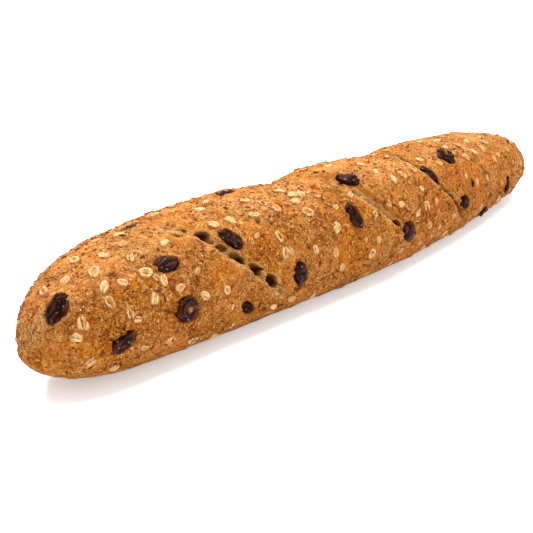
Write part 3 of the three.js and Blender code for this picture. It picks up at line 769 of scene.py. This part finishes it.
def oat_finish():
    """Baked oat: cream with ribs along the flake, toasted at its edge and golden in a dished middle,
    a brown line in the bowed crease, and the more baked ones near the crust's own colour."""
    finish, tree, shader = new_finish("toasted oat", 0.55, 0.12)
    place = add(tree, "TexCoord").outputs["Object"]
    spot = add(tree, "UVMap", uv_map="spot").outputs["UV"]
    parts = add(tree, "SeparateXYZ", {"Vector": spot})
    u = combine(tree, "SUBTRACT", parts.outputs[0], 0.5)
    v = combine(tree, "SUBTRACT", parts.outputs[1], 0.5)
    wobble = times(tree, combine(tree, "SUBTRACT", cloud(tree, place, 300, 2), 0.5), 0.22)
    rim = combine(tree, "SQRT", combine(tree, "ADD", times(tree, u, u), times(tree, v, v)), 0)
    rim = combine(tree, "ADD", rim, wobble)
    far = add(tree, "VectorMath", {0: place, 1: (70, 70, 70)}, operation="MULTIPLY").outputs[0]
    ribbed = add(tree, "VectorMath", {0: spot, 1: (2.5, 8, 0), 2: far}, operation="MULTIPLY_ADD")
    ribs = cloud(tree, ribbed.outputs[0], 1.0, 3, 0.6)
    toast, groove = mask(tree, "toast"), mask(tree, "groove")
    cream = blend(tree, ramp(tree, ribs, 0.4, 0.58), (0.35, 0.160, 0.043), (0.61, 0.41, 0.20))
    colour = blend(tree, ramp(tree, toast, 0.1, 1.0, 0, 0.9), cream, (0.35, 0.140, 0.026))
    hollow = times(tree, ramp(tree, rim, 0.16, 0.34, 1, 0), mask(tree, "dish"))
    colour = blend(tree, times(tree, hollow, 0.9), colour, (0.28, 0.098, 0.014))
    colour = blend(tree, ramp(tree, rim, 0.36, 0.5, 0, 0.75), colour, (0.30, 0.115, 0.020))
    colour = blend(tree, ramp(tree, groove, 0.25, 0.8, 0, 0.8), colour, (0.17, 0.058, 0.010))
    tree.links.new(colour, shader.inputs["Base Color"])
    bump = add(tree, "Bump", {"Height": ribs, "Strength": 0.8, "Distance": 0.0005})
    tree.links.new(bump.outputs["Normal"], shader.inputs["Normal"])
    return finish


chance = np.random.default_rng(41)
known = np.array(OATS, float)
known_points = place_on(known[:, 0], known[:, 1], known[:, 3])[1]
more_x, more_angle = scattered(chance, 6000, OAT_APART, known_points, MORE_OATS, -125, 125)
oat_x = np.concatenate([known[:, 0], more_x])
oat_angle = np.concatenate([known[:, 1], more_angle])
oat_length = np.concatenate([known[:, 2] * OAT_SHRINK, chance.uniform(3.2, 5.6, len(more_x))])
oat_turn = np.concatenate([known[:, 3], chance.uniform(0, 180, len(more_x))])
oat_wide = oat_length * chance.uniform(0.58, 0.78, len(oat_length))
oat_toast = np.concatenate([chance.uniform(0, 0.45, len(known)), chance.uniform(0.2, 0.8, len(more_x))])
oat_height = np.concatenate([chance.uniform(0.55, 0.85, len(known)), chance.uniform(0.3, 0.7, len(more_x))])
oat_crease = chance.uniform(0.1, 0.9, len(oat_x))
oat_dish = 0.9 * (chance.uniform(0, 1, len(oat_x)) > 0.6) * chance.uniform(0.4, 1, len(oat_x))
points, faces, spot, groove = flakes(oat_x, oat_angle, oat_length, oat_wide, oat_turn, oat_height,
                                     OAT_RINGS, OAT_SIDES, 42, oat_crease, oat_dish)
toast, dish = (np.repeat(each[:, None], points.shape[1], 1) for each in (oat_toast, oat_dish))
masks = dict(toast=toast, dish=dish, groove=groove)
oats = with_map(piece("oat_flakes", points, faces, oat_finish(), masks), spot, "spot")
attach(oats, "root")


# Bran is the broken husk of the wheat in the dough: small reddish brown chips, up to three
# millimetres long, that stand out of the crust at all angles.
BRAN = 1500
BRAN_APART = 2.0
BRAN_SIDES = 8
BRAN_RINGS = [(0.8, 0.8), (1.0, -0.9)]


def bran_finish():
    """Bran husk: from tan to dark reddish brown by the chip, a little streaked."""
    finish, tree, shader = new_finish("bran husk", 0.6, 0.05)
    place = add(tree, "TexCoord").outputs["Object"]
    streak = cloud(tree, place, 1300, 2)
    colour = blend(tree, mask(tree, "tone"), (0.27, 0.080, 0.016), (0.085, 0.020, 0.005))
    colour = blend(tree, ramp(tree, streak, 0.4, 0.65, 0, 0.4), colour, (0.055, 0.018, 0.010))
    tree.links.new(colour, shader.inputs["Base Color"])
    return finish


chip_x, chip_angle = scattered(chance, 9000, BRAN_APART, [], BRAN, -118, 118)
chip_length = 0.8 + 2.2 * chance.uniform(0, 1, len(chip_x)) ** 3.5
chip_wide = chip_length * chance.uniform(0.35, 0.8, len(chip_x))
chip_turn = chance.uniform(0, 180, len(chip_x))
chip_height = chance.uniform(0.2, 0.5, len(chip_x))
points, faces, *_ = flakes(chip_x, chip_angle, chip_length, chip_wide, chip_turn, chip_height,
                           BRAN_RINGS, BRAN_SIDES, 43)
tone = np.repeat(chance.uniform(0, 1, len(chip_x))[:, None], points.shape[1], 1)
bran = piece("bran_chips", points, faces, bran_finish(), dict(tone=tone))
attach(bran, "root")


# The pale table under the loaf, the studio's lights and the camera: one wide soft light overhead,
# a small one from behind, a wide weak one in front, and white walls all round.
def table_finish():
    """Plain white table top of milky acrylic, as in a product studio, glowing a little as if lit
    from below: painted light that lightens the shadows on it and under the loaf.
    """
    finish, tree, shader = new_finish("white table", 0.8, 0.2)
    place = add(tree, "TexCoord").outputs["Object"]
    shade = blend(tree, cloud(tree, place, 3, 2), (0.93, 0.945, 0.955), (0.94, 0.955, 0.965))
    tree.links.new(shade, shader.inputs["Base Color"])
    # Painted light: the table glows a little, which lightens the shadows on it and under the loaf.
    shader.inputs["Emission Color"].default_value = (0.92, 0.98, 1.0, 1)
    shader.inputs["Emission Strength"].default_value = 0.35
    return finish


TABLE_REACH = 4000
TABLE_TOP = -0.05
corners = np.array([[-1, -1, 1], [1, -1, 1], [1, 1, 1], [-1, 1, 1]]) * (TABLE_REACH, TABLE_REACH, TABLE_TOP)
table = piece("table", corners, [[0, 1, 2, 3]], table_finish())


def soft_light(name, at, aim, size, power):
    """A square light at a point in metres, turned to face another point."""
    lamp = bpy.data.lights.new(name, "AREA")
    lamp.shape, lamp.size, lamp.energy = "SQUARE", size, power
    made = bpy.data.objects.new(name, lamp)
    back = np.array(at, float) - aim
    back /= np.linalg.norm(back)
    right = np.cross((0, 1, 0.001) if abs(back[2]) > 0.9 else (0, 0, 1), back)
    right /= np.linalg.norm(right)
    turn = np.stack([right, np.cross(back, right), back], 1)
    made.matrix_world = Matrix([[*turn[i], at[i]] for i in range(3)] + [[0, 0, 0, 1]])
    bpy.context.scene.collection.objects.link(made)


soft_light("overhead", (0.26, 0.15, 1.0), (0.04, 0, 0), 1.0, 27.5)
soft_light("behind", (-0.15, 0.75, 0.75), (-0.02, 0, 0.02), 0.2, 8.5)
soft_light("front", (0.1, -1.3, 0.5), (0, 0, 0), 1.4, 5.0)
walls = bpy.data.worlds.new("white walls")
walls.use_nodes = True
walls.node_tree.nodes["Background"].inputs["Color"].default_value = (1.0, 0.995, 0.985, 1)
walls.node_tree.nodes["Background"].inputs["Strength"].default_value = 0.8
bpy.context.scene.world = walls
bpy.context.scene.view_settings.view_transform = "Standard"

lens = bpy.data.cameras.new("camera")
lens.lens, lens.sensor_width = 57.41, 36.0
lens.clip_start = 0.01
camera = bpy.data.objects.new("camera", lens)
BACK = np.array([-0.66992, -0.63129, 0.39073])
RIGHT = np.array([0.68581, -0.72778, 0.0])
UP = np.cross(BACK, RIGHT)
EYE = (-0.2903, -0.2276, 0.1540)
camera.matrix_world = Matrix([[RIGHT[i], UP[i], BACK[i], EYE[i]] for i in range(3)] + [[0, 0, 0, 1]])
bpy.context.scene.collection.objects.link(camera)
bpy.context.scene.camera = camera
